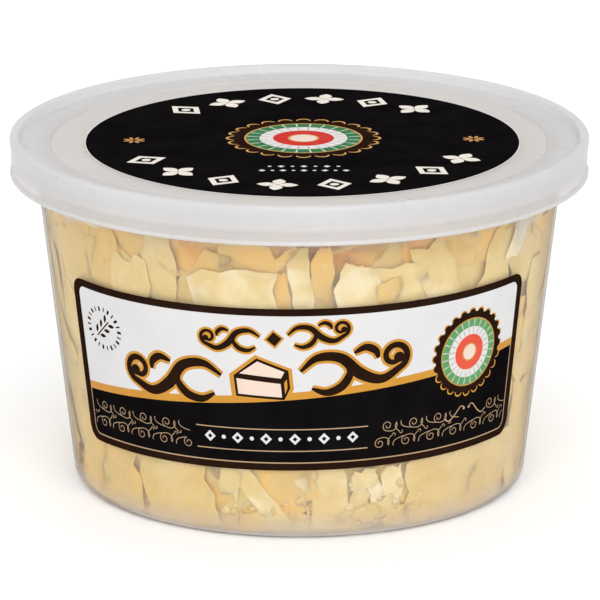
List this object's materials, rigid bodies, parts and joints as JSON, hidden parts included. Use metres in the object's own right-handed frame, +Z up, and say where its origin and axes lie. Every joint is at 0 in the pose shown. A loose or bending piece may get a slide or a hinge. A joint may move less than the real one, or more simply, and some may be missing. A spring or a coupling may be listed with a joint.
{
  "type": "tub of shaved parmesan",
  "caption": "Round tapered translucent deli tub with a press-on recessed lid, a curved front label and a round lid label, filled with thin shavings of pale hard cheese.",
  "frame": {"origin": "centre of the base, on the surface that the tub stands on", "axes": "+Z up through the lid, -Y towards the middle of the printed front"},
  "size_m": [0.118, 0.118, 0.0722],
  "materials": {
    "tub_plastic": "clear, slightly milky polypropylene",
    "lid_plastic": "milky translucent polypropylene, satin",
    "cheese": "pale yellow hard cheese, slightly waxy",
    "front_paper": "white coated paper with near-black and gold print",
    "lid_paper": "near-black coated paper with white and gold print"
  },
  "bodies": {
    "root": {"tub": "tub_plastic", "lid": "lid_plastic", "parmesan": "cheese", "front_label": "front_paper", "lid_label": "lid_paper"}
  },
  "joints": []
}
